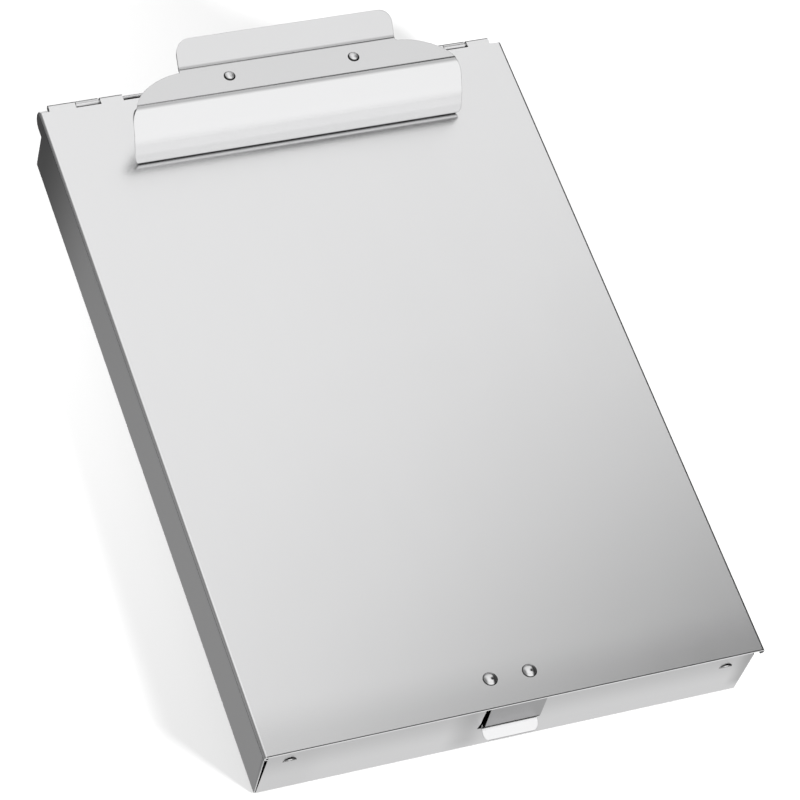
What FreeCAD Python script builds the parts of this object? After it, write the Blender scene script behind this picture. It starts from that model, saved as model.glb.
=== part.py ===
import FreeCAD, Part
import math
import os
import Sketcher
from FreeCAD import Vector, Placement, Rotation

# Aluminium storage clipboard: a folded sheet-metal tray, a hinged lid with a
# spring clip and a spring latch. Row frame: +X right, +Y towards the hinge,
# +Z up, origin under the middle of the tray's underside. Millimetres.

doc = FreeCAD.newDocument("storage_clipboard")

# ------------------------------------------------------------------ the sheet
dims = doc.addObject("Spreadsheet::Sheet", "dims")
CELLS = [
    # lid
    ("lid_width", 228.6), ("lid_front", 172.45), ("lid_rear", 172.45),
    ("case_height", 34.0), ("gauge", 0.8), ("hem_height", 2.8), ("hem_depth", 1.9),
    # hinge
    ("hinge_y", 175.1), ("hinge_z", 32.2), ("roll_radius", 1.8), ("rod_radius", 0.95),
    ("roll_bore", 1.0), ("hinge_cx", 0.4), ("rod_half", 106.9),
    ("knuckle_a", 108.7), ("knuckle_b", 97.15), ("knuckle_c", 85.15), ("knuckle_d", 74.35),
    ("knuckle_e", 18.0), ("knuckle_f", 6.4), ("knuckle_play", 0.3), ("knuckle_shift", 0.9),
    # tray
    ("tray_cx", -1.97), ("tray_cx_base", -2.6), ("tray_half_top", 112.1), ("tray_half_base", 111.25),
    ("tray_front_top", 171.9), ("tray_front_base", 171.0),
    ("tray_back_top", 166.9), ("tray_back_base", 168.6),
    ("wall_top", 33.05), ("side_top", 30.9), ("fold_radius", 1.0),
    ("seam_gap", 1.6),
    # gutter behind the compartment
    ("gutter_floor", 22.4), ("gutter_rear", 176.4), ("gutter_radius", 4.1), ("gutter_top", 29.8),
    # notch, lip and latch slot in the front wall
    ("notch_left", -14.7), ("notch_right", 12.75), ("notch_floor", 15.9),
    ("lip_left", -14.2), ("lip_width", 25.4), ("lip_edge_y", 176.9), ("lip_edge_z", 14.1),
    ("lip_corner", 3.2), ("slot_half", 10.0), ("slot_low", 10.4), ("slot_high", 13.4),
    # half-moon lances
    ("lance_left", -101.8), ("lance_right", 98.2), ("lance_z_left", 25.1), ("lance_z_right", 23.7), ("lance_radius", 3.1),
    ("lance_angle", 25.0), ("lance_gauge", 0.5),
    # latch spring
    ("latch_width", 25.4), ("latch_cx", -0.1), ("latch_gauge", 0.5), ("latch_rivet_x", 9.0), ("latch_rivet_y", 158.5),
    ("latch_rivet_head", 3.3), ("latch_rivet_dome", 1.5), ("latch_shank", 1.6),
    # clip
    ("lever_gauge", 1.0), ("lever_top", 59.4), ("lever_cx", 0.15), ("rivet_cx", -0.2),
    ("tab_half", 52.75), ("tab_y", 176.2), ("tab_z", 68.0), ("tab_corner", 6.6),
    ("crease_rear_y", 165.6), ("crease_front_y", 148.2), ("crease_front_half", 77.8),
    ("face_half", 79.8), ("jaw_y", 134.0), ("jaw_z", 35.3), ("jaw_half", 78.5),
    ("lever_rivet_x", 30.3), ("lever_rivet_y", 157.8), ("lever_rivet_head", 2.75),
    ("lever_rivet_dome", 1.35), ("lever_shank", 1.5),
    ("leaf_gauge", 1.2), ("pivot_y", 158.0), ("pivot_z", 47.0), ("pin_radius", 2.0),
    ("pin_bore", 2.06), ("upper_half", 37.0), ("base_half", 38.7), ("pin_half", 40.3),
    ("spring_wire", 0.9), ("spring_coil", 4.1), ("spring_pitch", 2.1), ("spring_turns", 4.293), ("spring_reach", 11.0),
    ("spring_x", 20.0),
    ("base_rivet_x", 27.0), ("base_rivet_ya", 152.5), ("base_rivet_yb", 165.0),
]


class E:
    """A number together with the expression that produces it from the sheet."""

    def __init__(self, value, text):
        self.v = value
        self.t = text

    def _op(self, other, sign, swap=False):
        o = other if isinstance(other, E) else E(float(other), "(%.6f)" % float(other))
        a, b = (o, self) if swap else (self, o)
        if sign == "+":
            return E(a.v + b.v, "(%s + %s)" % (a.t, b.t))
        if sign == "-":
            return E(a.v - b.v, "(%s - %s)" % (a.t, b.t))
        if sign == "*":
            return E(a.v * b.v, "(%s * %s)" % (a.t, b.t))
        return E(a.v / b.v, "(%s / %s)" % (a.t, b.t))

    def __add__(self, o): return self._op(o, "+")
    def __radd__(self, o): return self._op(o, "+", True)
    def __sub__(self, o): return self._op(o, "-")
    def __rsub__(self, o): return self._op(o, "-", True)
    def __mul__(self, o): return self._op(o, "*")
    def __rmul__(self, o): return self._op(o, "*", True)
    def __truediv__(self, o): return self._op(o, "/")
    def __neg__(self): return E(-self.v, "(0 - %s)" % self.t)


D = {}
for i, (alias, value) in enumerate(CELLS):
    cell = "B%d" % (i + 1)
    dims.set("A%d" % (i + 1), alias)
    dims.set(cell, "%g" % value)
    dims.setAlias(cell, alias)
    D[alias] = E(float(value), "dims.%s" % alias)
doc.recompute()


def val(x):
    return x.v if isinstance(x, E) else float(x)


def bind(obj, prop, x):
    """Give a property its number, and its expression when it has one."""
    if isinstance(x, E):
        obj.setExpression(prop, x.t)


# -------------------------------------------------------------- small helpers
PLANES = {"XY": "XY_Plane", "XZ": "XZ_Plane", "YZ": "YZ_Plane"}


def new_body(name):
    body = doc.addObject("PartDesign::Body", name)
    body.Label = name
    return body


def new_sketch(body, plane, offset=0.0):
    sk = body.newObject("Sketcher::SketchObject", body.Name + "_sketch")
    origin = [f for f in body.Origin.OriginFeatures if f.Role == PLANES[plane]][0]
    sk.AttachmentSupport = [(origin, "")]
    sk.MapMode = "FlatFace"
    sk.AttachmentOffset = Placement(Vector(0, 0, val(offset)), Rotation())
    bind(sk, ".AttachmentOffset.Base.z", offset)
    return sk


def polygon(sk, points):
    """A closed polygon whose every corner is tied to the sheet."""
    n = len(points)
    pts = [(val(x), val(y)) for x, y in points]
    for i in range(n):
        a, b = pts[i], pts[(i + 1) % n]
        sk.addGeometry(Part.LineSegment(Vector(a[0], a[1], 0), Vector(b[0], b[1], 0)), False)
    for i in range(n):
        sk.addConstraint(Sketcher.Constraint("Coincident", i, 2, (i + 1) % n, 1))
    for i in range(n):
        for kind, k in (("DistanceX", 0), ("DistanceY", 1)):
            c = sk.addConstraint(Sketcher.Constraint(kind, -1, 1, i, 1, pts[i][k]))
            if isinstance(points[i][k], E):
                sk.renameConstraint(c, "p%d%s" % (i, kind[-1]))
                sk.setExpression("Constraints.p%d%s" % (i, kind[-1]), points[i][k].t)
    return sk


def disc(sk, x, y, r):
    g = sk.addGeometry(Part.Circle(Vector(val(x), val(y), 0), Vector(0, 0, 1), val(r)), False)
    c = sk.addConstraint(Sketcher.Constraint("Radius", g, val(r)))
    if isinstance(r, E):
        sk.setExpression("Constraints[%d]" % c, r.t)
    for kind, k in (("DistanceX", x), ("DistanceY", y)):
        c = sk.addConstraint(Sketcher.Constraint(kind, -1, 1, g, 3, val(k)))
        if isinstance(k, E):
            sk.setExpression("Constraints[%d]" % c, k.t)
    return g


def run(sk, path):
    """A closed outline of lines and arcs: ("L", p, q) or ("A", centre, radius, from, to) in degrees."""
    for item in path:
        if item[0] == "L":
            sk.addGeometry(Part.LineSegment(Vector(item[1][0], item[1][1], 0),
                                            Vector(item[2][0], item[2][1], 0)), False)
        else:
            c, r, a, b = item[1:]
            circle = Part.Circle(Vector(c[0], c[1], 0), Vector(0, 0, 1), r)
            sk.addGeometry(Part.ArcOfCircle(circle, math.radians(a), math.radians(b)), False)
    return sk


def pad(body, sk, length, symmetric=False, reverse=False, cls="PartDesign::Pad"):
    f = body.newObject(cls, body.Name + "_feature")
    f.Profile = sk
    f.Length = val(length)
    bind(f, "Length", length)
    if symmetric:
        f.SideType = "Symmetric"
    f.Reversed = reverse
    sk.Visibility = False
    doc.recompute()
    return f


def pocket(body, sk, length, symmetric=False, reverse=False, least=0.0):
    before = body.Shape.Volume
    f = pad(body, sk, length, symmetric, reverse, "PartDesign::Pocket")
    cut = before - body.Shape.Volume
    if cut <= least:
        raise RuntimeError("%s removes only %.4f mm3" % (f.Name, cut))
    return f


def grow(body, f, before, least=0.0):
    if body.Shape.Volume - before <= least:
        raise RuntimeError("%s adds only %.4f mm3" % (f.Name, body.Shape.Volume - before))


def edges_where(shape, test):
    return ["Edge%d" % (i + 1) for i, e in enumerate(shape.Edges) if test(e)]


def fillet(body, names, radius):
    if not names:
        raise RuntimeError("no edges for a fillet in " + body.Name)
    base = body.Tip
    f = body.newObject("PartDesign::Fillet", body.Name + "_fillet")
    f.Base = (base, names)
    f.Radius = val(radius)
    bind(f, "Radius", radius)
    doc.recompute()
    return f


def sheet_path(points, thick):
    """Polygon of a bent sheet: the given line is one face, the other lies `thick` to its left."""
    n = len(points)
    out = []
    for i in range(n):
        if i == 0:
            d = (points[1][0] - points[0][0], points[1][1] - points[0][1])
            m = math.hypot(*d)
            out.append((points[0][0] - d[1] / m * thick, points[0][1] + d[0] / m * thick))
        elif i == n - 1:
            d = (points[-1][0] - points[-2][0], points[-1][1] - points[-2][1])
            m = math.hypot(*d)
            out.append((points[-1][0] - d[1] / m * thick, points[-1][1] + d[0] / m * thick))
        else:
            a = (points[i][0] - points[i - 1][0], points[i][1] - points[i - 1][1])
            b = (points[i + 1][0] - points[i][0], points[i + 1][1] - points[i][1])
            ma, mb = math.hypot(*a), math.hypot(*b)
            na, nb = (-a[1] / ma, a[0] / ma), (-b[1] / mb, b[0] / mb)
            k = thick / (1.0 + na[0] * nb[0] + na[1] * nb[1])
            out.append((points[i][0] + (na[0] + nb[0]) * k, points[i][1] + (na[1] + nb[1]) * k))
    return list(points) + out[::-1]


def round_bends(points, radii):
    """Lines and tangent arcs along a closed polygon, with one radius per corner (0 keeps it sharp)."""
    n = len(points)
    trimmed = []
    for i in range(n):
        p0, p1, p2 = points[i - 1], points[i], points[(i + 1) % n]
        a = (p0[0] - p1[0], p0[1] - p1[1])
        b = (p2[0] - p1[0], p2[1] - p1[1])
        ma, mb = math.hypot(*a), math.hypot(*b)
        a, b = (a[0] / ma, a[1] / ma), (b[0] / mb, b[1] / mb)
        half = math.acos(max(-1.0, min(1.0, a[0] * b[0] + a[1] * b[1]))) / 2.0
        r = radii[i]
        if r <= 0 or half > math.radians(89.5):
            trimmed.append((p1, p1, None))
            continue
        d = r / math.tan(half)
        s = (p1[0] + a[0] * d, p1[1] + a[1] * d)
        e = (p1[0] + b[0] * d, p1[1] + b[1] * d)
        m = (a[0] + b[0], a[1] + b[1])
        mm = math.hypot(*m)
        c = (p1[0] + m[0] / mm * r / math.sin(half), p1[1] + m[1] / mm * r / math.sin(half))
        trimmed.append((s, e, (c, r)))
    path = []
    for i in range(n):
        s, e, arc = trimmed[i]
        if arc:
            c, r = arc
            a0 = math.degrees(math.atan2(s[1] - c[1], s[0] - c[0]))
            a1 = math.degrees(math.atan2(e[1] - c[1], e[0] - c[0]))
            cross = (s[0] - c[0]) * (e[1] - c[1]) - (s[1] - c[1]) * (e[0] - c[0])
            if cross > 0:
                while a1 < a0:
                    a1 += 360.0
                path.append(("A", c, r, a0, a1))
            else:
                while a0 < a1:
                    a0 += 360.0
                path.append(("A", c, r, a1, a0))
        nxt = trimmed[(i + 1) % n][0]
        if math.hypot(nxt[0] - e[0], nxt[1] - e[1]) > 1e-6:
            path.append(("L", e, nxt))
    return path


NODES = {}

# ------------------------------------------------------------------- tray pan
t = D["gauge"]
cx, cxb = D["tray_cx"], D["tray_cx_base"]
tray = new_body("tray_pan")
ht, hb = D["tray_half_top"], D["tray_half_base"]
ft, fb = D["tray_front_top"], D["tray_front_base"]
bt, bb = D["tray_back_top"], D["tray_back_base"]
top = D["wall_top"]
foot = polygon(new_sketch(tray, "XY"), [(cxb - hb, -fb), (cxb + hb, -fb), (cxb + hb, bb), (cxb - hb, bb)])
pad(tray, foot, top)


def lean(body, normal, rise, run_text, outward):
    """Tilt one wall of the block about its foot."""
    names = []
    for i, face in enumerate(body.Shape.Faces):
        n = face.normalAt(0.5, 0.5)
        if n.dot(normal) > 0.95:
            names.append("Face%d" % (i + 1))
    base = body.Tip
    f = body.newObject("PartDesign::Draft", body.Name + "_lean")
    f.Base = (base, names)
    f.NeutralPlane = ([o for o in body.Origin.OriginFeatures if o.Role == "XY_Plane"][0], [""])
    f.Reversed = outward
    f.Angle = math.degrees(math.atan2(rise, top.v))
    f.setExpression("Angle", "atan((%s) / dims.wall_top)" % run_text)
    doc.recompute()
    return f


steps = [(Vector(-1, 0, 0), (ht - hb + cxb - cx).v, (ht - hb + cxb - cx).t, True),
         (Vector(1, 0, 0), (ht - hb + cx - cxb).v, (ht - hb + cx - cxb).t, True),
         (Vector(0, -1, 0), (ft - fb).v, "dims.tray_front_top - dims.tray_front_base", True),
         (Vector(0, 1, 0), (bb - bt).v, "dims.tray_back_base - dims.tray_back_top", False)]
for normal, rise, text, outward in steps:
    f = lean(tray, normal, rise, text, outward)
    print(f.Name, f.State, tray.Shape.BoundBox)
fillet(tray, edges_where(tray.Shape, lambda e: e.BoundBox.ZMax < 0.01), D["fold_radius"])
before = tray.Shape.Volume
solid_tray = tray.Tip
hollow = tray.newObject("PartDesign::Thickness", "tray_sheet")
hollow.Base = (solid_tray, ["Face%d" % (i + 1) for i, face in enumerate(solid_tray.Shape.Faces)
                            if face.BoundBox.ZMin > top.v - 0.01])
hollow.Value = t.v
hollow.setExpression("Value", "dims.gauge")
hollow.Reversed = True
doc.recompute()
print(hollow.State, tray.Shape.BoundBox)
if tray.Shape.Volume > 0.2 * before:
    raise RuntimeError("the tray is not hollow")
# side walls end under the lid's hems
for sx in (-1, 1):
    x0 = cx + (ht - 0.9) if sx > 0 else D["hem_depth"] - D["lid_width"] / 2.0 + 0.35
    x1 = cx + sx * (ht + 3.0)
    pts = [(x0, D["side_top"]), (x1, D["side_top"]), (x1, top + 1.0), (x0, top + 1.0)]
    pocket(tray, polygon(new_sketch(tray, "XZ"), pts), 500.0, symmetric=True)
# the back wall ends at the gutter
pts = [(cx - ht + t, D["gutter_floor"] + 0.3), (cx + ht - t, D["gutter_floor"] + 0.3),
       (cx + ht - t, top + 1.0), (cx - ht + t, top + 1.0)]
sk = polygon(new_sketch(tray, "XZ", -160.0), pts)
pocket(tray, sk, 20.0, reverse=False if sk.Placement.Rotation.multVec(Vector(0, 0, 1)).y < 0 else True)
# gutter: the back wall's rim turned out and up, clear of the lid's rolls
gy, gz, gr = D["gutter_rear"].v, D["gutter_floor"].v, D["gutter_radius"].v
gauge = t.v
wall_y = bb.v + (bt.v - bb.v) * (gz / top.v)
gutter = [(wall_y, gz - 1.5), (wall_y, gz), (gy, gz), (gy, D["gutter_top"].v)]
poly = sheet_path(gutter, gauge)
path = round_bends(poly, [0, 0.7, gr, 0, 0, gr - gauge, 1.5, 0])
inner_l = cx.v - ht.v + gauge - 0.3
inner_r = cx.v + ht.v - gauge + 0.3
sk = run(new_sketch(tray, "YZ", inner_l), path)
before = tray.Shape.Volume
f = pad(tray, sk, inner_r - inner_l)
grow(tray, f, before, 100)
# ears: the side walls' rear ends close the gutter
for x in (cx - ht + 0.12, cx + ht - t - 0.12):
    ear = [(160.0, 20.0), (wall_y - 0.2, 20.0), (wall_y - 0.2, gz), (gy, gz), (gy, 30.2), (172.8, D["side_top"].v), (160.0, D["side_top"].v)]
    path = round_bends(ear, [0, 0, 1.2, gr, 2.6, 1.5, 0])
    before = tray.Shape.Volume
    f = pad(tray, run(new_sketch(tray, "YZ", x), path), t)
    grow(tray, f, before, 5)
# tray knuckles: the gutter's rim goes on up and wraps the rod
hy, hz = D["hinge_y"].v, D["hinge_z"].v
ro, ri = D["roll_radius"].v, D["roll_bore"].v
end = 250.0
knuckle = [
    ("L", (gy, 28.0), (hy + ro, hz)),
    ("A", (hy, hz), ro, 0.0, end),
    ("L", (hy + ro * math.cos(math.radians(end)), hz + ro * math.sin(math.radians(end))),
     (hy + ri * math.cos(math.radians(end)), hz + ri * math.sin(math.radians(end)))),
    ("A", (hy, hz), ri, 0.0, end),
    ("L", (hy + ri, hz), (gy - gauge, 28.0)),
    ("L", (gy - gauge, 28.0), (gy, 28.0)),
]
hcx = D["hinge_cx"]
play, shift = D["knuckle_play"], D["knuckle_shift"]
spans = [(hcx - D["knuckle_b"] + play, hcx - D["knuckle_c"] - shift),
         (hcx + D["knuckle_c"] + play, hcx + D["knuckle_b"] - shift),
         (hcx - D["knuckle_f"] + play, hcx + D["knuckle_f"] - shift)]
for a, b in spans:
    before = tray.Shape.Volume
    f = pad(tray, run(new_sketch(tray, "YZ", a), knuckle), b - a)
    grow(tray, f, before, 10)
# notch in the front wall, with a relief at its lower left corner
sk = polygon(new_sketch(tray, "XZ", 160.0), [
    (D["notch_left"], top + 1.0), (D["notch_left"] - 0.5, E(24.0, "24.0")), (D["notch_left"] - 0.4, E(20.6, "20.6")),
    (D["notch_left"] - 1.2, E(17.0, "17.0")),
    (D["notch_left"] - 1.2, D["notch_floor"]), (D["notch_right"], D["notch_floor"]), (D["notch_right"], top + 1.0)])
pocket(tray, sk, 20.0, reverse=True if sk.Placement.Rotation.multVec(Vector(0, 0, 1)).y < 0 else False, least=100)
# slot that holds the latch's hook
sk = polygon(new_sketch(tray, "XZ", 160.0), [
    (D["latch_cx"] - D["slot_half"], D["slot_low"]), (D["latch_cx"] + D["slot_half"], D["slot_low"]),
    (D["latch_cx"] + D["slot_half"], D["slot_high"]), (D["latch_cx"] - D["slot_half"], D["slot_high"])])
pocket(tray, sk, 20.0, reverse=True if sk.Placement.Rotation.multVec(Vector(0, 0, 1)).y < 0 else False, least=20)
# front corner seams open towards the top: the left one shows in the front wall, the right one in the side wall
xi, xb = cx - (ht - t) - 0.35, cxb - (hb - t) - 0.35
sk = polygon(new_sketch(tray, "XZ", 150.0), [
    (xb, E(1.4, "1.4")), (xb + 0.35, E(1.4, "1.4")), (xi + D["seam_gap"], top + 1.0), (xi, top + 1.0)])
pocket(tray, sk, 30.0, reverse=sk.Placement.Rotation.multVec(Vector(0, 0, 1)).y < 0)
yi, yb = t - ft, t - fb
sk = polygon(new_sketch(tray, "YZ", 100.0), [
    (yb, E(1.6, "1.6")), (yb + 0.12, E(1.6, "1.6")), (yi + D["seam_gap"], top + 1.0), (yi, top + 1.0)])
pocket(tray, sk, 30.0, reverse=True)
# thumb lip folded out of the notch's foot
ly, lz = D["lip_edge_y"].v, D["lip_edge_z"].v
wy = fb.v + (ft.v - fb.v) * (15.9 / top.v)
lip_line = [(-(wy - gauge), 13.8), (-(wy - gauge), 17.8), (-ly, lz)]
poly = sheet_path(lip_line, gauge)
path = round_bends(poly, [0, 1.3, 0, 0, 0.5, 0])
before = tray.Shape.Volume
f = pad(tray, run(new_sketch(tray, "YZ", D["lip_left"]), path), D["lip_width"])
grow(tray, f, before, 50)
lc = D["lip_corner"].v
for sx, x in ((-1, D["lip_left"].v), (1, D["lip_left"].v + D["lip_width"].v)):
    path = [("L", (x - sx * lc, -ly - 1.0), (x + sx * 1.0, -ly - 1.0)),
            ("L", (x + sx * 1.0, -ly - 1.0), (x + sx * 1.0, -ly + lc)),
            ("L", (x + sx * 1.0, -ly + lc), (x, -ly + lc)),
            ("A", (x - sx * lc, -ly + lc), lc, 180.0 if sx < 0 else 270.0, 270.0 if sx < 0 else 360.0),
            ("L", (x - sx * lc, -ly), (x - sx * lc, -ly - 1.0))]
    pocket(tray, run(new_sketch(tray, "XY", 5.0), path), 20.0, reverse=True, least=0.5)
# small tang left standing at the lip's left root
tang = polygon(new_sketch(tray, "XZ", E(wy - gauge, "%.4f" % (wy - gauge))), [
    (D["lip_left"], E(15.6, "15.6")), (D["lip_left"] + 0.9, E(15.6, "15.6")), (D["lip_left"] + 0.9, E(16.6, "16.6")),
    (D["lip_left"] + 0.1, E(19.0, "19.0"))])
f = pad(tray, tang, 0.7, reverse=tang.Placement.Rotation.multVec(Vector(0, 0, 1)).y > 0)
# half-moon lances: a D-shaped tongue pushed out, open at the top
for side in ("left", "right"):
    x = D["lance_" + side]
    r = D["lance_radius"].v
    zc = D["lance_z_" + side].v
    path = [("A", (x.v, zc), r, 0.0, 180.0), ("L", (x.v - r, zc), (x.v + r, zc))]
    sk = run(new_sketch(tray, "XZ", 160.0), path)
    pocket(tray, sk, 20.0, reverse=True if sk.Placement.Rotation.multVec(Vector(0, 0, 1)).y < 0 else False, least=5)
doc.recompute()

tongues = []
for side in ("left", "right"):
    tongue = doc.addObject("Part::Cylinder", "tongue_" + side)
    tongue.Radius = D["lance_radius"].v - 0.02
    tongue.setExpression("Radius", "dims.lance_radius - 0.02")
    tongue.Height = D["lance_gauge"].v
    tongue.setExpression("Height", "dims.lance_gauge")
    tongue.Angle = 180
    zl = D["lance_z_" + side].v
    wyl = fb.v + (ft.v - fb.v) * (zl / top.v)
    # the half disc stands on its chord and leans outwards
    tongue.Placement = Placement(Vector(D["lance_" + side].v, -wyl + 0.78, zl - 0.12),
                                 Rotation(Vector(1, 0, 0), 90.0 + D["lance_angle"].v))
    tongues.append(tongue)
fused = doc.addObject("Part::MultiFuse", "tray_pan_fused")
fused.Shapes = [tray] + tongues
fused.Label = "tray_pan_complete"
doc.recompute()
NODES["tray_pan"] = fused

# ------------------------------------------------------------------- hinge rod
rod = doc.addObject("Part::Cylinder", "hinge_rod")
rod.setExpression("Radius", "dims.rod_radius")
rod.setExpression("Height", "dims.rod_half * 2")
rod.Placement = Placement(Vector(hcx.v - D["rod_half"].v, hy, hz), Rotation(Vector(0, 1, 0), 90))
NODES["hinge_rod"] = rod

# ------------------------------------------------------------------- lid panel
lid = new_body("lid_panel")
H = D["case_height"].v
hw = D["lid_width"].v / 2.0
hr = D["hem_height"].v / 2.0
hi = hr - gauge
hd = D["hem_depth"].v
zc = H - hr
xc = hw - hr
section = [
    ("L", (-xc, H), (xc, H)),
    ("A", (xc, zc), hr, -90.0, 90.0),
    ("L", (xc, zc - hr), (hw - hd, zc - hr)),
    ("L", (hw - hd, zc - hr), (hw - hd, zc - hi)),
    ("L", (hw - hd, zc - hi), (xc, zc - hi)),
    ("A", (xc, zc), hi, -90.0, 90.0),
    ("L", (xc, zc + hi), (-xc, zc + hi)),
    ("A", (-xc, zc), hi, 90.0, 270.0),
    ("L", (-xc, zc - hi), (-(hw - hd), zc - hi)),
    ("L", (-(hw - hd), zc - hi), (-(hw - hd), zc - hr)),
    ("L", (-(hw - hd), zc - hr), (-xc, zc - hr)),
    ("A", (-xc, zc), hr, 90.0, 270.0),
]
sk = run(new_sketch(lid, "XZ"), section)
pad(lid, sk, D["lid_front"] * 2.0, symmetric=True)
# lid rolls around the rod
curl = -168.0
roll = [
    ("L", (D["lid_rear"].v - 0.5, H), (hy, H)),
    ("A", (hy, hz), ro, curl, 90.0),
    ("L", (hy + ro * math.cos(math.radians(curl)), hz + ro * math.sin(math.radians(curl))),
     (hy + ri * math.cos(math.radians(curl)), hz + ri * math.sin(math.radians(curl)))),
    ("A", (hy, hz), ri, curl, 90.0),
    ("L", (hy, H - gauge), (D["lid_rear"].v - 0.5, H - gauge)),
    ("L", (D["lid_rear"].v - 0.5, H - gauge), (D["lid_rear"].v - 0.5, H)),
]
for a, b in ((hcx - D["knuckle_a"] - 1.2, hcx - D["knuckle_b"]), (hcx - D["knuckle_c"], hcx - D["knuckle_d"]),
             (hcx - D["knuckle_e"], hcx - D["knuckle_f"]), (hcx + D["knuckle_f"], hcx + D["knuckle_e"]),
             (hcx + D["knuckle_d"], hcx + D["knuckle_c"]), (hcx + D["knuckle_b"], hcx + D["knuckle_a"] - 0.4)):
    before = lid.Shape.Volume
    f = pad(lid, run(new_sketch(lid, "YZ", a), roll), b - a)
    grow(lid, f, before, 10)
# rivet holes: latch rivets and the clip's base rivets
holes = new_sketch(lid, "XY", D["case_height"])
for sx in (-1, 1):
    disc(holes, sx * D["latch_rivet_x"], -D["latch_rivet_y"], D["latch_shank"] + 0.05)
    for yy in ("base_rivet_ya", "base_rivet_yb"):
        disc(holes, D["lever_cx"] + sx * D["base_rivet_x"], D[yy], D["lever_shank"] + 0.05)
pocket(lid, holes, 2.0, least=10)
# the lid's front edge is eased
fillet(lid, edges_where(lid.Shape, lambda e: abs(e.BoundBox.YMin + D["lid_front"].v) < 1e-4
                        and abs(e.BoundBox.YMax + D["lid_front"].v) < 1e-4
                        and abs(e.BoundBox.ZMin - H) < 1e-4), 0.15)
NODES["lid_panel"] = lid

# ------------------------------------------------------------------ latch spring
latch = new_body("latch_spring")
lt = D["latch_gauge"].v
ztop = H - gauge - 0.05
# front/top face of the strip, from the riveted end to the hook's tail
line = [(-150.5, ztop), (-172.1, ztop), (-171.95, 17.5), (-169.9, 16.5), (-169.85, 13.2), (-170.75, 12.6),
        (-169.8, 10.9), (-169.6, 8.6)]
poly = sheet_path(line, lt)
# corners in order: the face line, then the other face backwards
radii = [0, 1.3, 0.3, 0.3, 0.2, 0.2, 0.3, 0, 0, 0.5, 0.5, 0.4, 0.5, 0.1, 0.8, 0]
sk = run(new_sketch(latch, "YZ", D["latch_cx"] - D["latch_width"] / 2.0), round_bends(poly, radii))
pad(latch, sk, D["latch_width"])
# the hook is narrower than the strip
for sx in (-1, 1):
    xh = D["latch_cx"] + sx * (D["slot_half"] - 0.7)
    sk = polygon(new_sketch(latch, "XZ", 160.0), [
        (xh, E(5.0, "5.0")), (sx * 20.0, E(5.0, "5.0")), (sx * 20.0, E(14.6, "14.6")), (xh, E(14.6, "14.6"))])
    pocket(latch, sk, 20.0, reverse=sk.Placement.Rotation.multVec(Vector(0, 0, 1)).y < 0, least=1)
holes = new_sketch(latch, "XY", D["case_height"])
for sx in (-1, 1):
    disc(holes, sx * D["latch_rivet_x"], -D["latch_rivet_y"], D["latch_shank"] + 0.1)
pocket(latch, holes, 4.0, least=3)
NODES["latch_spring"] = latch


# ---------------------------------------------------------------------- rivets
def rivet_set(name, places, z_seat, z_under, head, dome, shank, foot, foot_dome):
    """Domed rivets turned about vertical axes; z_seat and z_under are the faces they clamp."""
    parts = []
    for n, (x, y) in enumerate(places):
        rr = (head.v ** 2 + dome.v ** 2) / (2 * dome.v)
        fr = (foot ** 2 + foot_dome ** 2) / (2 * foot_dome)
        a = math.degrees(math.atan2(rr - dome.v, head.v))
        b = math.degrees(math.atan2(fr - foot_dome, foot))
        body = new_body("%s_%d" % (name, n))
        sk = run(new_sketch(body, "XZ"), [
            ("L", (0.0, z_under - foot_dome), (0.0, z_seat + dome.v)),
            ("A", (0.0, z_seat + dome.v - rr), rr, a, 90.0),
            ("L", (head.v, z_seat), (shank.v, z_seat)),
            ("L", (shank.v, z_seat), (shank.v, z_under)),
            ("L", (shank.v, z_under), (foot, z_under)),
            ("A", (0.0, z_under - foot_dome + fr), fr, 270.0, 360.0 - b),
        ])
        rev = body.newObject("PartDesign::Revolution", "%s_turn_%d" % (name, n))
        rev.Profile = sk
        rev.ReferenceAxis = (sk, ["V_Axis"])
        rev.Angle = 360.0
        doc.recompute()
        body.Placement = Placement(Vector(val(x), val(y), 0), Rotation())
        bind(body, ".Placement.Base.x", x)
        bind(body, ".Placement.Base.y", y)
        parts.append(body)
    comp = doc.addObject("Part::Compound", name)
    comp.Label = name
    comp.Links = parts
    doc.recompute()
    return comp


NODES["latch_rivets"] = rivet_set(
    "latch_rivets", [(-D["latch_rivet_x"], -D["latch_rivet_y"]), (D["latch_rivet_x"], -D["latch_rivet_y"])],
    H, ztop - lt - 0.05, D["latch_rivet_head"], D["latch_rivet_dome"], D["latch_shank"], 2.6, 0.8)

# ------------------------------------------------------------------- clip lever
lever = new_body("clip_lever")
lg = D["lever_gauge"].v
lt_top = D["lever_top"].v
# outer face from the thumb tab's edge, over the middle, down the front, to the turned jaw
outer = [(D["tab_y"].v, D["tab_z"].v), (D["crease_rear_y"].v, lt_top), (D["crease_front_y"].v, lt_top),
         (139.0, 46.9), (D["jaw_y"].v, D["jaw_z"].v), (136.2, 34.45)]
poly = sheet_path(outer, lg)
radii = [0, 1.8, 2.6, 26.0, 1.15, 0, 0, 0.15, 25.0, 1.6, 2.8, 0]
sk = run(new_sketch(lever, "YZ"), round_bends(poly, radii))
pad(lever, sk, 163.0, symmetric=True)
lcx = D["lever_cx"].v
th, tc = D["tab_half"].v, D["tab_corner"].v
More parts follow.
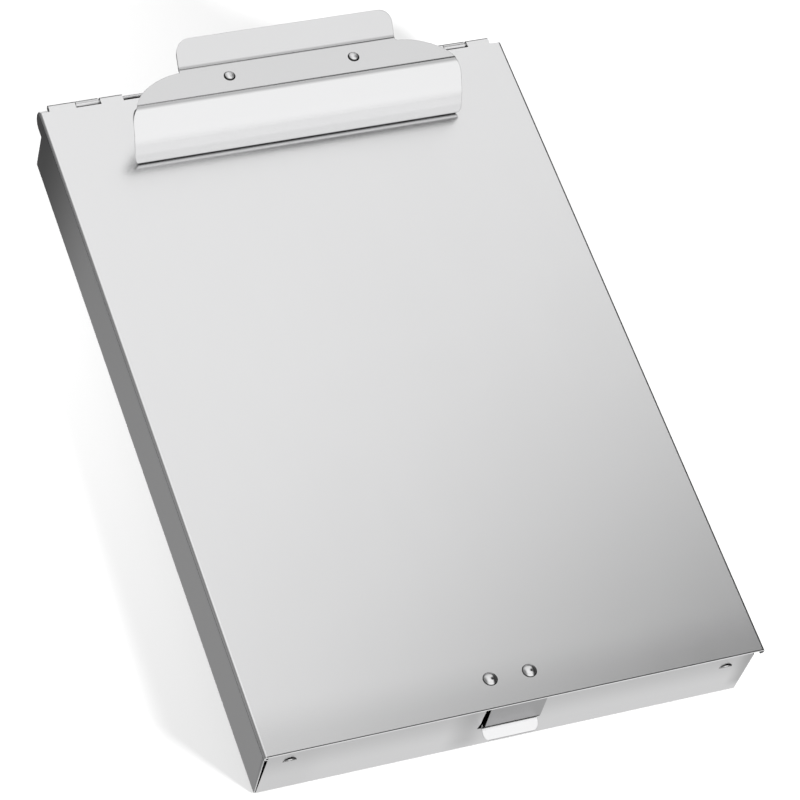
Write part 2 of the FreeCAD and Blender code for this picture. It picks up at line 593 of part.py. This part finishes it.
# plan outline of the tab and the shoulders, cut away outside
yf, yr, ch = D["crease_front_y"].v, D["crease_rear_y"].v, D["crease_front_half"].v
for sx in (-1, 1):
    arc_pts = [(lcx + sx * x, y) for x, y in
               ((th + 0.3, 163.75), (56.3, 163.35), (61.2, 162.2), (66.0, 160.3), (70.5, 157.6),
                (73.8, 154.8), (76.2, 151.6), (ch, yf + 0.1), (ch + 0.05, yf - 0.15))]
    spline = Part.BSplineCurve()
    spline.interpolate([Vector(x, y, 0) for x, y in arc_pts])
    sk = new_sketch(lever, "XY", 80.0)
    first, last = arc_pts[0], arc_pts[-1]
    sk.addGeometry(spline, False)
    big = lcx + sx * 95.0
    corner = [(last[0], last[1]), (big, yf - 0.15), (big, 190.0),
              (lcx + sx * (th - tc), 190.0), (lcx + sx * (th - tc), D["tab_y"].v + 0.001)]
    for p, q in zip(corner[:-1], corner[1:]):
        sk.addGeometry(Part.LineSegment(Vector(p[0], p[1], 0), Vector(q[0], q[1], 0)), False)
    # tab corner, foreshortened by the tab's slope
    slope = math.atan2(D["tab_z"].v - lt_top, D["tab_y"].v - yr)
    rc = tc * math.cos(slope)
    ell = []
    for k in range(9):
        w = math.radians(90.0 - 90.0 * k / 8.0)
        ell.append(Vector(lcx + sx * (th - tc + tc * math.cos(w)), D["tab_y"].v + 0.001 - rc + rc * math.sin(w), 0))
    s2 = Part.BSplineCurve()
    s2.interpolate(ell)
    sk.addGeometry(s2, False)
    sk.addGeometry(Part.LineSegment(ell[-1], Vector(lcx + sx * th, first[1] + 1.0, 0)), False)
    sk.addGeometry(Part.LineSegment(Vector(lcx + sx * th, first[1] + 1.0, 0), Vector(first[0], first[1], 0)), False)
    pocket(lever, sk, 24.0, least=500)
    # side edge of the front face, a little proud in the middle
    edge = [Vector(lcx + sx * x, z, 0) for x, z in
            ((ch - 0.1, 60.0), (ch + 0.05, 59.2), (79.1, 57.0), (79.9, 54.4), (D["face_half"].v + 0.15, 50.0),
             (D["face_half"].v + 0.25, 46.0), (D["face_half"].v + 0.15, 41.7), (79.9, 38.3), (79.3, 36.4), (78.2, 35.0), (76.8, 34.0))]
    s3 = Part.BSplineCurve()
    s3.interpolate(edge)
    sk = new_sketch(lever, "XZ", -(yf + 0.15))
    sk.addGeometry(s3, False)
    loop = [edge[-1], Vector(edge[-1].x, 33.0, 0), Vector(big, 33.0, 0), Vector(big, 60.0, 0), edge[0]]
    for p, q in zip(loop[:-1], loop[1:]):
        sk.addGeometry(Part.LineSegment(p, q), False)
    pocket(lever, sk, 40.0, reverse=(sk.Placement.Rotation.multVec(Vector(0, 0, 1)).y < 0), least=15)
holes = new_sketch(lever, "XY", 70.0)
for sx in (-1, 1):
    disc(holes, D["rivet_cx"] + sx * D["lever_rivet_x"], D["lever_rivet_y"], D["lever_shank"] + 0.05)
pocket(lever, holes, 14.0, least=3)
NODES["clip_lever"] = lever

# -------------------------------------------------------- upper and base leaves
lw = D["leaf_gauge"].v


def channel(name, half, z_web, z_ear, up, y0, y1, ear_r, hole_r):
    """A channel with two eared flanges that carry the pin."""
    body = new_body(name)
    z0, z1 = (z_web, z_web + lw) if up else (z_web - lw, z_web)
    out = [(-half, z_ear), (-half, z0 if up else z1), (half, z0 if up else z1), (half, z_ear)]
    shape = sheet_path([(p[0], p[1]) for p in out], lw if not up else lw)
    # keep the sheet inside the stated half width
    xs = [p[0] for p in shape]
    if max(xs) > half + 0.01:
        shape = sheet_path(out, -lw)
    radii = [0, 2.0, 2.0, 0, 0, 0.8, 0.8, 0]
    shape = [(lcx + p[0], p[1]) for p in shape]
    sk = run(new_sketch(body, "XZ", -(y0 + y1) / 2.0), round_bends(shape, radii))
    pad(body, sk, y1 - y0, symmetric=True)
    return body


upper = channel("clip_upper_leaf", D["upper_half"].v, lt_top - lg, D["pivot_z"].v - 4.4, False, 150.4, 164.6, 4.4, 2.06)
base = channel("clip_base_leaf", D["base_half"].v + lw, H, D["pivot_z"].v + 4.6, True, 148.6, 168.4, 4.6, 2.06)
py, pz = D["pivot_y"].v, D["pivot_z"].v
for body, rad, web, up in ((upper, 4.4, lt_top - lg - lw, False), (base, 4.6, H + lw, True)):
    # trim each ear to a rounded lug about the pin
    y0, y1 = body.Shape.BoundBox.YMin, body.Shape.BoundBox.YMax
    for sy, ye in ((-1, y0), (1, y1)):
        zt = pz - rad - 1.0 if not up else pz + rad + 1.0
        zw = web - 3.2 if not up else web + 2.2
        # straight from the web's end to the tangent of the lug, then round the lug
        tang_a = 0.0 if sy > 0 else 180.0
        p_t = (py + sy * rad, pz)
        if up:
            path = [("L", (ye + sy * 0.5, zw), (ye, zw)), ("L", (ye, zw), p_t),
                    ("A", (py, pz), rad, 0.0, 90.0) if sy > 0 else ("A", (py, pz), rad, 90.0, 180.0),
                    ("L", (py, pz + rad), (py, zt)), ("L", (py, zt), (ye + sy * 0.5, zt)),
                    ("L", (ye + sy * 0.5, zt), (ye + sy * 0.5, zw))]
        else:
            path = [("L", (ye + sy * 0.5, zw), (ye, zw)), ("L", (ye, zw), p_t),
                    ("A", (py, pz), rad, 270.0, 360.0) if sy > 0 else ("A", (py, pz), rad, 180.0, 270.0),
                    ("L", (py, pz - rad), (py, zt)), ("L", (py, zt), (ye + sy * 0.5, zt)),
                    ("L", (ye + sy * 0.5, zt), (ye + sy * 0.5, zw))]
        pocket(body, run(new_sketch(body, "YZ", 0.0), path), 200.0, symmetric=True, least=5)
    sk = new_sketch(body, "YZ", 0.0)
    disc(sk, D["pivot_y"], D["pivot_z"], D["pin_bore"])
    pocket(body, sk, 200.0, symmetric=True, least=5)
holes = new_sketch(upper, "XY", 70.0)
for sx in (-1, 1):
    disc(holes, D["rivet_cx"] + sx * D["lever_rivet_x"], D["lever_rivet_y"], D["lever_shank"] + 0.05)
pocket(upper, holes, 14.0, least=3)
holes = new_sketch(base, "XY", 37.0)
for sx in (-1, 1):
    for yy in ("base_rivet_ya", "base_rivet_yb"):
        disc(holes, D["lever_cx"] + sx * D["base_rivet_x"], D[yy], D["lever_shank"] + 0.05)
pocket(base, holes, 4.0, least=6)
NODES["clip_upper_leaf"] = upper
NODES["clip_base_leaf"] = base

# -------------------------------------------------------------------- pivot pin
pin = new_body("clip_pivot_pin")
pr, ph = D["pin_radius"].v, D["pin_half"].v
sk = run(new_sketch(pin, "XY"), round_bends(
    [(-ph - 1.4, 0.0), (-ph - 1.4, 3.1), (-ph, 3.1), (-ph, pr), (ph, pr), (ph, 3.1), (ph + 1.4, 3.1), (ph + 1.4, 0.0)],
    [0, 0.9, 0, 0, 0, 0, 0.9, 0]))
rev = pin.newObject("PartDesign::Revolution", "pin_turn")
rev.Profile = sk
rev.ReferenceAxis = (sk, ["H_Axis"])
rev.Angle = 360.0
doc.recompute()
pin.Placement = Placement(Vector(lcx, py, pz), Rotation())
bind(pin, ".Placement.Base.x", D["lever_cx"])
bind(pin, ".Placement.Base.y", D["pivot_y"])
bind(pin, ".Placement.Base.z", D["pivot_z"])
NODES["clip_pivot_pin"] = pin

# --------------------------------------------------------------- torsion springs
wr, cr, pitch, turns = D["spring_wire"].v, D["spring_coil"].v, D["spring_pitch"].v, D["spring_turns"].v


reach = D["spring_reach"].v


def torsion():
    """Wire wound about +Z with a straight leg at each end; returns the solid and where the legs start and point."""
    count = 60
    points, lean_z = [], pitch / (2.0 * math.pi)
    for k in range(count + 1):
        w = 2.0 * math.pi * turns * k / count
        points.append(Vector(cr * math.cos(w), cr * math.sin(w), pitch * turns * k / count))
    w = 2.0 * math.pi * turns
    start = Vector(0.0, cr, lean_z)
    stop = Vector(-cr * math.sin(w), cr * math.cos(w), lean_z)
    start.normalize()
    stop.normalize()
    curve = Part.BSplineCurve()
    curve.interpolate(points)
    legs = [(points[0], start * -1.0), (points[-1], stop)]
    tail = points[0] + legs[0][1] * reach
    head = points[-1] + legs[1][1] * reach
    path = Part.Wire([Part.LineSegment(tail, points[0]).toShape(), curve.toShape(), Part.LineSegment(points[-1], head).toShape()])
    ring = Part.Wire([Part.makeCircle(wr, tail, start)])
    return path.makePipeShell([ring], True, False), legs


coil, legs = torsion()
lay = Rotation(Vector(0, 1, 0), 90)
floor_z, roof_z = (H + lw + wr + 0.2) - pz, (lt_top - lg - lw - wr - 0.2) - pz
best = None
for step in range(0, 3600):
    turn = Rotation(Vector(1, 0, 0), step / 10.0).multiply(lay)
    tips = [turn.multVec(p + d * reach) for p, d in legs]
    low_tip, high_tip = sorted(tips, key=lambda q: q.z)
    miss = max(0.0, floor_z - low_tip.z) + max(0.0, high_tip.z - roof_z)
    if min(low_tip.y, high_tip.y) < 3.0:
        continue
    score = 20.0 * miss + abs(low_tip.z - floor_z) + abs(high_tip.z - roof_z)
    if best is None or score < best[0]:
        best = (score, step / 10.0, low_tip, high_tip)
print("spring", best, floor_z, roof_z)
spring_shapes = []
for sx in (-1, 1):
    shape = coil.copy()
    shape.Placement = Placement(Vector(lcx + sx * D["spring_x"].v - pitch * turns / 2.0, py, pz),
                                Rotation(Vector(1, 0, 0), best[1]).multiply(lay))
    spring_shapes.append(shape)
springs = doc.addObject("Part::Feature", "clip_springs")
springs.Shape = Part.makeCompound(spring_shapes)
NODES["clip_springs"] = springs

# ----------------------------------------------------------------- clip's rivets
NODES["clip_lever_rivets"] = rivet_set(
    "clip_lever_rivets",
    [(D["rivet_cx"] - D["lever_rivet_x"], D["lever_rivet_y"]), (D["rivet_cx"] + D["lever_rivet_x"], D["lever_rivet_y"])],
    lt_top, lt_top - lg - lw, D["lever_rivet_head"], D["lever_rivet_dome"], D["lever_shank"], 2.5, 0.8)
places = []
for sx in (-1, 1):
    for yy in ("base_rivet_ya", "base_rivet_yb"):
        places.append((D["lever_cx"] + sx * D["base_rivet_x"], D[yy]))
NODES["clip_base_rivets"] = rivet_set(
    "clip_base_rivets", places, H + lw, H - gauge, D["lever_rivet_head"], D["lever_rivet_dome"], D["lever_shank"], 2.6, 0.8)

# ------------------------------------------------------------- checks and export
doc.recompute()
bad = [o.Name for o in doc.Objects if "Invalid" in o.State or "Error" in o.State]
if bad:
    raise RuntimeError("failed objects: " + ", ".join(bad))
os.makedirs("parts", exist_ok=True)
total = FreeCAD.BoundBox()
for name, obj in NODES.items():
    shape = obj.Shape
    if shape.isNull() or not shape.isValid() or not shape.Solids:
        raise RuntimeError("bad shape: " + name)
    shape.exportStep("parts/%s.step" % name)
    b = shape.BoundBox
    total.add(b)
    print("%-20s solids %d  volume %9.1f  x %8.2f..%8.2f  y %8.2f..%8.2f  z %7.2f..%7.2f" % (
        name, len(shape.Solids), shape.Volume, b.XMin, b.XMax, b.YMin, b.YMax, b.ZMin, b.ZMax))
print("whole: x %.2f..%.2f  y %.2f..%.2f  z %.2f..%.2f" % (total.XMin, total.XMax, total.YMin, total.YMax, total.ZMin, total.ZMax))
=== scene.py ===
import bpy
import math
from mathutils import Matrix, Vector


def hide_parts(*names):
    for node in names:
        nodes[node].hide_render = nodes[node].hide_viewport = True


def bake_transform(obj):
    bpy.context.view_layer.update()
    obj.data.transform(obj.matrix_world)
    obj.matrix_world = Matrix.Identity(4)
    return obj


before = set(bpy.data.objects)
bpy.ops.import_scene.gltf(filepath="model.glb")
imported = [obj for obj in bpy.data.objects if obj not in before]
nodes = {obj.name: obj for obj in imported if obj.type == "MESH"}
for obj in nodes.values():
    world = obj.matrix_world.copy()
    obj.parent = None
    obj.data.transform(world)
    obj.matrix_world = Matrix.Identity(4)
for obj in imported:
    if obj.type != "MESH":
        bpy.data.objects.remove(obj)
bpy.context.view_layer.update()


# ---------------------------------------------------------------- node helpers
class Tree:
    """Short calls for building a material's or the world's nodes."""

    def __init__(self, tree):
        self.t = tree
        self.x = 0

    def node(self, kind, **props):
        n = self.t.nodes.new(kind)
        self.x += 180
        n.location = (self.x, 0)
        for k, v in props.items():
            setattr(n, k, v)
        return n

    def put(self, socket, value):
        if hasattr(value, "is_linked") or hasattr(value, "links"):
            self.t.links.new(value, socket)
        else:
            socket.default_value = value

    def math(self, op, a, b=0.0, clamp=False):
        n = self.node("ShaderNodeMath", operation=op, use_clamp=clamp)
        self.put(n.inputs[0], a)
        if len(n.inputs) > 1:
            self.put(n.inputs[1], b)
        return n.outputs[0]

    def ramp(self, value, lo, hi, out_lo, out_hi, smooth=True):
        n = self.node("ShaderNodeMapRange", interpolation_type="SMOOTHSTEP" if smooth else "LINEAR")
        for i, v in enumerate((value, lo, hi, out_lo, out_hi)):
            self.put(n.inputs[i], v)
        return n.outputs[0]

    def mix(self, fac, a, b, blend="MIX"):
        n = self.node("ShaderNodeMix", data_type="RGBA", blend_type=blend)
        self.put(n.inputs[0], fac)
        self.put(n.inputs[6], a)
        self.put(n.inputs[7], b)
        return n.outputs[2]

    def vector(self, op, a, b=(0, 0, 0)):
        n = self.node("ShaderNodeVectorMath", operation=op)
        self.put(n.inputs[0], a)
        self.put(n.inputs[1], b)
        return n.outputs["Value"] if op in ("DOT_PRODUCT", "LENGTH", "DISTANCE") else n.outputs[0]

    def noise(self, vector, scale, detail=2.0, rough=0.5, distortion=0.0):
        n = self.node("ShaderNodeTexNoise")
        self.put(n.inputs["Vector"], vector)
        n.inputs["Scale"].default_value = scale
        n.inputs["Detail"].default_value = detail
        n.inputs["Roughness"].default_value = rough
        n.inputs["Distortion"].default_value = distortion
        return n.outputs["Fac"]

    def stretch(self, vector, scale):
        n = self.node("ShaderNodeMapping")
        self.put(n.inputs["Vector"], vector)
        n.inputs["Scale"].default_value = scale
        return n.outputs[0]


def span(t, coord, lo, hi, soft):
    """1 where lo < coord < hi, with soft sides."""
    up = t.ramp(coord, lo - soft, lo + soft, 0.0, 1.0)
    down = t.ramp(coord, hi - soft, hi + soft, 1.0, 0.0)
    return t.math("MULTIPLY", up, down)


def metal(name, color, rough, grain=(1.0, 0.02, 1.0), grain_scale=900.0, grain_rough=0.04, grain_bump=0.15,
          mottle=0.008, mottle_scale=18.0, edge=0.00022, edge_gain=0.03, edge_rough=-0.05, aniso=0.0, wear_scale=160.0,
          scratches=0.05, metallic=1.0, warp=0.0, warp_scale=6.0, crevice=0.0022, crevice_lo=0.15, crevice_hi=0.70,
          crevice_painted_shade=0.10, patches=()):
    """Rolled or plated sheet metal: directional grain, slow mottling, hairlines, rubbed edges, painted shade in the
    crevices.

    patches: (axis, lo, hi, soft, factor) or a list of such spans with a factor, darker or brighter areas of the part,
    most of them painted shade and painted highlights."""
    m = bpy.data.materials.new(name)
    m.use_nodes = True
    t = Tree(m.node_tree)
    m.node_tree.nodes.clear()
    out = t.node("ShaderNodeOutputMaterial")
    sh = t.node("ShaderNodeBsdfPrincipled")
    m.node_tree.links.new(sh.outputs[0], out.inputs[0])
    sh.inputs["Metallic"].default_value = metallic
    sh.inputs["Anisotropic"].default_value = aniso
    pos = t.node("ShaderNodeTexCoord").outputs["Object"]
    lines = t.noise(t.stretch(pos, grain), grain_scale, 3.0, 0.65)
    blotch = t.noise(pos, mottle_scale, 3.0, 0.55)
    speck = t.noise(pos, mottle_scale * 23.0, 2.0, 0.5)
    # hairlines: thin ridges of a stretched, distorted noise
    hair = t.noise(t.stretch(pos, (1.0, 0.06, 1.0)), 260.0, 1.0, 0.4, 0.4)
    hair = t.ramp(t.math("ABSOLUTE", t.math("SUBTRACT", hair, 0.5)), 0.0, 0.006, 1.0, 0.0)
    gate = t.ramp(t.noise(pos, 34.0, 1.0, 0.5), 0.52, 0.68, 0.0, 1.0)
    hair = t.math("MULTIPLY", t.math("MULTIPLY", hair, gate), scratches)
    # rubbed edges
    bev = t.node("ShaderNodeBevel", samples=4)
    bev.inputs["Radius"].default_value = edge
    geo = t.node("ShaderNodeNewGeometry")
    turn = t.math("SUBTRACT", 1.0, t.vector("DOT_PRODUCT", bev.outputs[0], geo.outputs["True Normal"]))
    rub = t.ramp(turn, 0.02, 0.22, 0.0, 1.0)
    rub = t.math("MULTIPLY", rub, t.ramp(t.noise(pos, wear_scale, 2.0, 0.5), 0.3, 0.6, 0.35, 1.0))
    # colour
    tone = t.math("ADD", t.ramp(blotch, 0.3, 0.7, -mottle, mottle), t.math("MULTIPLY", t.math("SUBTRACT", speck, 0.5), mottle))
    tone = t.math("ADD", tone, t.math("MULTIPLY", t.math("SUBTRACT", lines, 0.5), mottle))
    tone = t.math("ADD", tone, t.math("MULTIPLY", rub, edge_gain))
    tone = t.math("SUBTRACT", tone, t.math("MULTIPLY", hair, 0.04))
    gain = t.math("ADD", tone, 1.0)
    # painted shade: AO darkening of the colour where surfaces nearly touch
    ao = t.node("ShaderNodeAmbientOcclusion", samples=6)
    ao.inputs["Distance"].default_value = crevice
    gain = t.math("MULTIPLY", gain, t.ramp(ao.outputs["AO"], crevice_lo, crevice_hi, crevice_painted_shade, 1.0))
    # painted shade and painted highlights placed by position
    if patches:
        sep = t.node("ShaderNodeSeparateXYZ")
        m.node_tree.links.new(pos, sep.inputs[0])
        axes = {"x": sep.outputs[0], "y": sep.outputs[1], "z": sep.outputs[2]}
        for spans, factor in patches:
            mask = None
            for axis, lo, hi, soft in spans:
                piece = span(t, axes[axis], lo, hi, soft)
                mask = piece if mask is None else t.math("MULTIPLY", mask, piece)
            gain = t.math("MULTIPLY", gain, t.math("ADD", 1.0, t.math("MULTIPLY", mask, factor - 1.0)))
    scaled = t.node("ShaderNodeVectorMath", operation="SCALE")
    scaled.inputs[0].default_value = color
    t.put(scaled.inputs["Scale"], gain)
    m.node_tree.links.new(scaled.outputs[0], sh.inputs["Base Color"])
    # roughness
    r = t.math("ADD", rough, t.math("MULTIPLY", t.math("SUBTRACT", lines, 0.5), grain_rough * 2.0))
    r = t.math("ADD", r, t.ramp(blotch, 0.3, 0.7, -grain_rough * 0.5, grain_rough * 0.5))
    r = t.math("ADD", r, t.math("MULTIPLY", rub, edge_rough))
    r = t.math("SUBTRACT", r, t.math("MULTIPLY", hair, 0.1), clamp=True)
    m.node_tree.links.new(r, sh.inputs["Roughness"])
    # surface
    height = t.math("ADD", t.math("MULTIPLY", lines, grain_bump), t.math("MULTIPLY", hair, -grain_bump * 0.8))
    b = t.node("ShaderNodeBump")
    b.inputs["Strength"].default_value = 0.25
    b.inputs["Distance"].default_value = 0.00005
    m.node_tree.links.new(height, b.inputs["Height"])
    if warp:
        slow = t.node("ShaderNodeBump")
        slow.inputs["Strength"].default_value = 1.0
        slow.inputs["Distance"].default_value = warp
        m.node_tree.links.new(t.noise(pos, warp_scale, 1.0, 0.4), slow.inputs["Height"])
        m.node_tree.links.new(bev.outputs[0], slow.inputs["Normal"])
        m.node_tree.links.new(slow.outputs[0], b.inputs["Normal"])
    else:
        m.node_tree.links.new(bev.outputs[0], b.inputs["Normal"])
    m.node_tree.links.new(b.outputs[0], sh.inputs["Normal"])
    return m


mats = {
    "lid": metal("lid_sheet", (0.855, 0.855, 0.86), 0.24, grain=(1.0, 0.02, 1.0), mottle=0.004, edge=0.00012, scratches=0.0,
                 grain_rough=0.015, grain_bump=0.05,
                 crevice=0.0011, patches=[
                     # darker towards the front edge
                     ([("y", -0.190, -0.158, 0.012)], 0.86),
                     # painted shade: black inside the hems' open ends
                     ([("y", -0.1730, -0.1650, 0.0005), ("z", 0.0318, 0.0331, 0.0001), ("x", 0.1100, 0.1139, 0.0002)], 0.05),
                     # painted dark line along the sheared front edge, and a painted highlight on the shear face itself
                     ([("y", -0.1726, -0.17196, 0.00008), ("z", 0.03394, 0.0341, 0.00002)], 0.15),
                     ([("y", -0.1726, -0.17243, 0.00001), ("z", 0.0330, 0.03393, 0.00003)], 1.25)]),
    "tray": metal("tray_sheet", (0.80, 0.80, 0.805), 0.30, grain=(0.02, 0.02, 1.0), mottle=0.008, patches=[
                     # painted shade: black inside the open corner seam, darker on the left wall's rear end and beside
                     # the notch
                     ([("x", -0.11362, -0.1090, 0.00003), ("y", -0.1709, -0.1500, 0.00005), ("z", 0.0, 0.0325, 0.0005)], 0.04),
                     ([("x", -0.1160, -0.1130, 0.0001), ("y", 0.128, 0.200, 0.045)], 0.22),
                     ([("x", -0.0260, -0.0140, 0.006), ("y", -0.1730, -0.1700, 0.0002), ("z", 0.002, 0.040, 0.008)], 0.78),
                     # painted shade at the front wall's right end
                     ([("x", 0.1050, 0.1150, 0.004), ("y", -0.1730, -0.1700, 0.0002), ("z", 0.006, 0.040, 0.004)], 0.69),
                     # painted shade: the front wall a little darker, more at its left end
                     ([("x", -0.1180, -0.0900, 0.006), ("y", -0.1730, -0.1700, 0.0002)], 0.96),
                     ([("y", -0.1730, -0.1700, 0.0002)], 0.96),
                     # painted shade under the lid's edge on the front wall, darker towards the top
                     ([("y", -0.1722, -0.1700, 0.0001), ("z", 0.022, 0.040, 0.012)], 0.80),
                     # thumb lip: painted highlight on its top, painted shade along its sheared outer edge
                     ([("y", -0.1780, -0.1718, 0.0002), ("z", 0.0140, 0.0190, 0.0004), ("x", -0.0145, 0.0115, 0.0001)], 1.18),
                     ([("y", -0.1780, -0.17672, 0.00008), ("x", -0.0145, 0.0115, 0.0001)], 0.30)]),
    "rod": metal("hinge_wire", (0.78, 0.78, 0.79), 0.22, grain=(0.02, 1.0, 1.0)),
    "clip": metal("clip_plate", (0.735, 0.735, 0.74), 0.20, grain=(0.02, 1.0, 1.0), grain_rough=0.02, mottle=0.005, edge=0.0003,
                  # painted shade on the jaw's turned-under edge, and the lower front face a little darker
                  crevice=0.0011, patches=[([("z", 0.030, 0.0350, 0.00012)], 0.55),
                           ([("z", 0.0340, 0.0398, 0.0010)], 0.93),
                           # painted shade along the two folds across the plate
                           ([("y", 0.1474, 0.1490, 0.0005), ("z", 0.0570, 0.0608, 0.0005)], 0.66),
                           ([("y", 0.1650, 0.1664, 0.0004), ("z", 0.0585, 0.0606, 0.0005)], 0.64)]),
    "rivet": metal("rivet_bright", (0.76, 0.76, 0.765), 0.21, grain=(1.0, 1.0, 1.0), grain_rough=0.03, mottle=0.02, scratches=0.3,
                   # painted shade: dark ring round the base of the rivet heads
                   crevice_hi=0.6, patches=[([("z", 0.0330, 0.03434, 0.00012)], 0.06)]),
    "rivet_clip": metal("rivet_clip", (0.92, 0.92, 0.925), 0.45, grain=(1.0, 1.0, 1.0), grain_rough=0.03, mottle=0.02, scratches=0.3,
                        # painted shade: dark ring round the base of the rivet heads
                        crevice_hi=0.6, patches=[([("z", 0.0590, 0.06002, 0.00015)], 0.04)]),
    "rivet_plain": metal("rivet_plain", (0.72, 0.72, 0.73), 0.35, grain=(1.0, 1.0, 1.0)),
    "leaf": metal("leaf_steel", (0.66, 0.66, 0.67), 0.32, grain=(0.02, 1.0, 1.0)),
    "pin": metal("pin_steel", (0.66, 0.66, 0.67), 0.25, grain=(0.02, 1.0, 1.0)),
    "spring": metal("spring_wire", (0.40, 0.40, 0.42), 0.3, grain=(1.0, 1.0, 1.0), grain_rough=0.08),
    "latch": metal("latch_strip", (0.40, 0.40, 0.405), 0.38, crevice_painted_shade=0.45, grain=(1.0, 1.0, 0.02), grain_rough=0.05, mottle=0.03),
}
USE = {
    "lid_panel": "lid", "tray_pan": "tray", "hinge_rod": "rod", "clip_lever": "clip", "clip_lever_rivets": "rivet_clip",
    "clip_upper_leaf": "leaf", "clip_base_leaf": "leaf", "clip_base_rivets": "rivet_plain", "clip_pivot_pin": "pin",
    "clip_springs": "spring", "latch_spring": "latch", "latch_rivets": "rivet",
}
for name, key in USE.items():
    o = nodes[name]
    for i in range(max(1, len(o.material_slots))):
        if i < len(o.material_slots):
            o.material_slots[i].material = mats[key]
        else:
            o.data.materials.append(mats[key])

# ------------------------------------------------------------------ latch strip
# the same strip as the CAD node, held flat by its rivets under the lid, copied into its own object
strip = bpy.data.objects.new("latch_strip", nodes["latch_spring"].data.copy())
strip.matrix_world = nodes["latch_spring"].matrix_world.copy()
bpy.context.scene.collection.objects.link(strip)
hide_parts("latch_spring")
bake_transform(strip)

# -------------------------------------------------------------- torsion springs
# the same springs as the CAD node, copied into their own object
springs = bpy.data.objects.new("torsion_springs", nodes["clip_springs"].data.copy())
springs.matrix_world = nodes["clip_springs"].matrix_world.copy()
bpy.context.scene.collection.objects.link(springs)
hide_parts("clip_springs")
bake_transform(springs)

# ------------------------------------------------------------------------ floor
bpy.ops.mesh.primitive_plane_add(size=12.0, location=(0, 0, -0.0002))
floor = bpy.context.object
floor.name = "floor"
fm = bpy.data.materials.new("floor_pale")
fm.use_nodes = True
ft = Tree(fm.node_tree)
fm.node_tree.nodes.clear()
fo = ft.node("ShaderNodeOutputMaterial")
fd = ft.node("ShaderNodeBsdfDiffuse")
fd.inputs["Color"].default_value = (0.25, 0.25, 0.25, 1)
fe = ft.node("ShaderNodeEmission")
fe.inputs["Color"].default_value = (1, 1, 1, 1)
fe.inputs["Strength"].default_value = 0.465
fa = ft.node("ShaderNodeAddShader")
fm.node_tree.links.new(fd.outputs[0], fa.inputs[0])
fm.node_tree.links.new(fe.outputs[0], fa.inputs[1])
fm.node_tree.links.new(fa.outputs[0], fo.inputs[0])
floor.data.materials.append(fm)
floor.visible_glossy = False

# ------------------------------------------------------------------------ world
world = bpy.data.worlds.new("studio")
bpy.context.scene.world = world
world.use_nodes = True
w = Tree(world.node_tree)
world.node_tree.nodes.clear()
wo = w.node("ShaderNodeOutputWorld")
bg = w.node("ShaderNodeBackground")
world.node_tree.links.new(bg.outputs[0], wo.inputs[0])
d = w.node("ShaderNodeTexCoord").outputs["Generated"]
sep = w.node("ShaderNodeSeparateXYZ")
world.node_tree.links.new(d, sep.inputs[0])
dx, dy, dz = sep.outputs


def around(direction, inner, outer):
    """1 within `inner` degrees of a direction, 0 beyond `outer`."""
    v = Vector(direction).normalized()
    c = w.vector("DOT_PRODUCT", d, tuple(v))
    return w.ramp(c, math.cos(math.radians(outer)), math.cos(math.radians(inner)), 0.0, 1.0)


def over(level, value, mask):
    """level moved towards value by mask."""
    return w.math("ADD", level, w.math("MULTIPLY", w.math("SUBTRACT", value, level), mask))


# upper half: a broad pale tent, with a dark gap overhead on the right and a dark ring at the horizon
upper = w.ramp(dy, 0.0, 1.0, 1.121, 0.813, smooth=False)
upper = over(upper, 1.01, w.ramp(dy, -0.45, -0.15, 1.0, 0.0))
upper = over(upper, 1.20, w.ramp(dy, -0.95, -0.62, 1.0, 0.0))
upper = over(upper, 0.0, around((0.487, 0.181, 0.854), 14.5, 17.5))
ring = w.math("MULTIPLY", w.ramp(w.math("ABSOLUTE", dz), 0.12, 0.42, 1.0, 0.0), w.ramp(dy, -0.75, -0.45, 0.0, 1.0))
upper = over(upper, 0.05, ring)
upper = over(upper, 0.05, w.ramp(dx, 0.52, 0.72, 0.0, 1.0))
upper = over(upper, 0.25, w.ramp(dx, -0.66, -0.30, 1.0, 0.0))
# lower half: what the walls see
lower = w.ramp(dy, -0.25, 0.30, 0.82, 0.30)
lower = over(lower, 0.02, w.ramp(dy, 0.53, 0.62, 0.0, 1.0))
lower = over(lower, 0.05, w.ramp(dx, 0.55, 0.75, 0.0, 1.0))
level = over(lower, upper, w.ramp(dz, -0.12, 0.02, 0.0, 1.0))
world.node_tree.links.new(level, bg.inputs["Strength"])
bg.inputs["Color"].default_value = (1.0, 1.0, 1.0, 1)


# ----------------------------------------------------------------------- lights
def softbox(name, loc, target, size, power, glossy=True):
    L = bpy.data.lights.new(name, "AREA")
    L.shape = "RECTANGLE"
    L.size, L.size_y = size
    L.energy = power
    o = bpy.data.objects.new(name, L)
    bpy.context.scene.collection.objects.link(o)
    o.location = loc
    o.rotation_euler = (Vector(target) - Vector(loc)).to_track_quat("-Z", "Y").to_euler()
    o.visible_glossy = glossy
    return o


softbox("key_right", (1.10, -1.55, 1.20), (0, 0, 0), (0.5, 0.5), 180.0, glossy=False)
softbox("fill_back_left", (-0.35, 0.28, 0.35), (-0.17, 0.13, 0), (0.25, 0.25), 5.0, glossy=False)

# ----------------------------------------------------------------------- camera
cam_data = bpy.data.cameras.new("camera")
cam = bpy.data.objects.new("camera", cam_data)
bpy.context.scene.collection.objects.link(cam)
cam_data.sensor_width = 36.0
cam_data.sensor_fit = "HORIZONTAL"
cam_data.lens = 3624.27 / 800.0 * 36.0
cam_data.clip_start, cam_data.clip_end = 0.05, 50.0
cam_data.shift_x, cam_data.shift_y = -0.000625, -0.000375
right = Vector((0.93335243, -0.31739776, 0.16766604))
down = Vector((-0.17422908, -0.80894464, -0.56147377))
fwd = Vector((0.31384306, 0.49484061, -0.81033037))
rot = Matrix((right, -down, -fwd)).transposed().to_4x4()
cam.matrix_world = Matrix.Translation(Vector((-0.50444973, -0.80885039, 1.30090714 + 0.034))) @ rot
bpy.context.scene.camera = cam
bpy.context.scene.view_settings.view_transform = "Standard"
